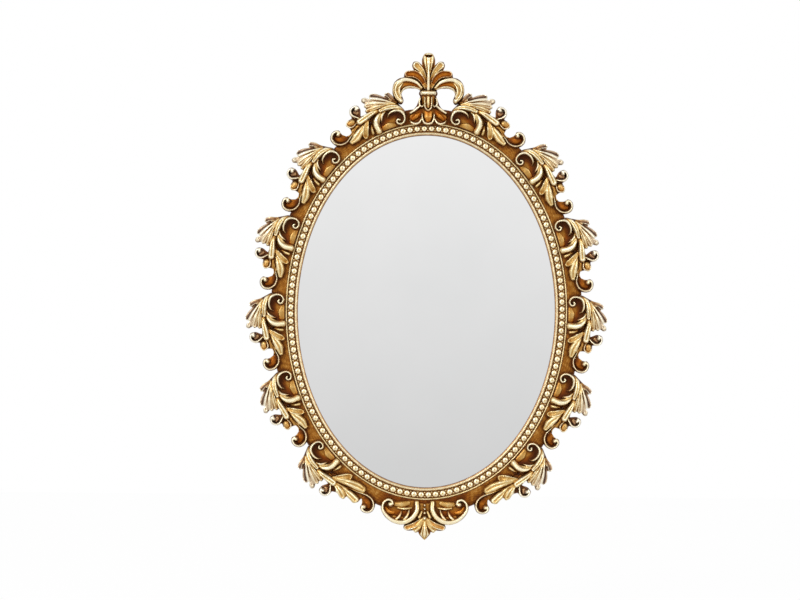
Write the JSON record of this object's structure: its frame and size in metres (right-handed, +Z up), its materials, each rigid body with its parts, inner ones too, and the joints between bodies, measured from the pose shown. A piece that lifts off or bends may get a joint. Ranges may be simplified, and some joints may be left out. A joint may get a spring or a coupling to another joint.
{
  "type": "oval wall mirror",
  "caption": "Oval wall mirror in a gilt frame of beaded moulding and acanthus scrolls, with a palmette crest and pendant; hangs from a ring on its back.",
  "frame": {"origin": "the point on the wall where the nail stands under the arch of the hanging ring", "axes": "+X to the viewer's right, +Z up, +Y into the wall; the mirror faces -Y and the wall is Y = 0"},
  "size_m": [0.2824, 0.0245, 0.3797],
  "materials": {
    "gilt_moulding": "antique gold over a brown ground, satin, stippled",
    "gilt_beads": "antique gold, polished on the pearls' tops",
    "gilt_ornament": "antique gold, bright on the ridges with amber and dark brown in the hollows",
    "mirror_glass": "silvered float glass",
    "backing_board": "brown hardboard",
    "hardware_steel": "bright zinc plate",
    "screw_steel": "zinc plate, pan head",
    "rivet_aluminium": "plain, domed",
    "bumper_rubber": "matt black"
  },
  "bodies": {
    "frame": {"oval_frame": "gilt_moulding", "sight_beads": "gilt_beads", "acanthus_right_1": "gilt_ornament", "acanthus_right_2": "gilt_ornament", "acanthus_right_3": "gilt_ornament", "acanthus_right_4": "gilt_ornament", "acanthus_right_5": "gilt_ornament", "acanthus_right_6": "gilt_ornament", "acanthus_left_1": "gilt_ornament", "acanthus_left_2": "gilt_ornament", "acanthus_left_3": "gilt_ornament", "acanthus_left_4": "gilt_ornament", "acanthus_left_5": "gilt_ornament", "acanthus_left_6": "gilt_ornament", "crest_pedestal": "gilt_ornament", "crest_palmette": "gilt_ornament", "pendant_scroll_right": "gilt_ornament", "pendant_scroll_left": "gilt_ornament", "pendant_palmette": "gilt_ornament", "mirror_glass": "mirror_glass", "backing_board": "backing_board", "turn_button_screws": "screw_steel", "hanger_strap": "hardware_steel", "hanger_rivets": "rivet_aluminium", "wall_bumper_right": "bumper_rubber", "wall_bumper_left": "bumper_rubber"},
    "turn_button_1": {"turn_button_1": "hardware_steel"},
    "turn_button_2": {"turn_button_2": "hardware_steel"},
    "turn_button_3": {"turn_button_3": "hardware_steel"},
    "turn_button_4": {"turn_button_4": "hardware_steel"},
    "turn_button_5": {"turn_button_5": "hardware_steel"},
    "turn_button_6": {"turn_button_6": "hardware_steel"},
    "hanger_ring": {"hanger_ring": "hardware_steel"}
  },
  "joints": [
    {"name": "hanger_ring_swing", "type": "hinge", "parent": "frame", "child": "hanger_ring", "pos_m": [0, -0.00292, -0.0065], "axis": [-1, 0, 0], "range_deg": [0, 178]},
    {"name": "turn_button_1_turn", "type": "hinge", "parent": "frame", "child": "turn_button_1", "pos_m": [0.06456, -0.005, -0.03315], "axis": [0, 1, 0], "continuous": true},
    {"name": "turn_button_2_turn", "type": "hinge", "parent": "frame", "child": "turn_button_2", "pos_m": [0.1105, -0.005, -0.153], "axis": [0, 1, 0], "continuous": true},
    {"name": "turn_button_3_turn", "type": "hinge", "parent": "frame", "child": "turn_button_3", "pos_m": [0.06456, -0.005, -0.27285], "axis": [0, 1, 0], "continuous": true},
    {"name": "turn_button_4_turn", "type": "hinge", "parent": "frame", "child": "turn_button_4", "pos_m": [-0.06456, -0.005, -0.27285], "axis": [0, 1, 0], "continuous": true},
    {"name": "turn_button_5_turn", "type": "hinge", "parent": "frame", "child": "turn_button_5", "pos_m": [-0.1105, -0.005, -0.153], "axis": [0, 1, 0], "continuous": true},
    {"name": "turn_button_6_turn", "type": "hinge", "parent": "frame", "child": "turn_button_6", "pos_m": [-0.06456, -0.005, -0.03315], "axis": [0, 1, 0], "continuous": true}
  ]
}
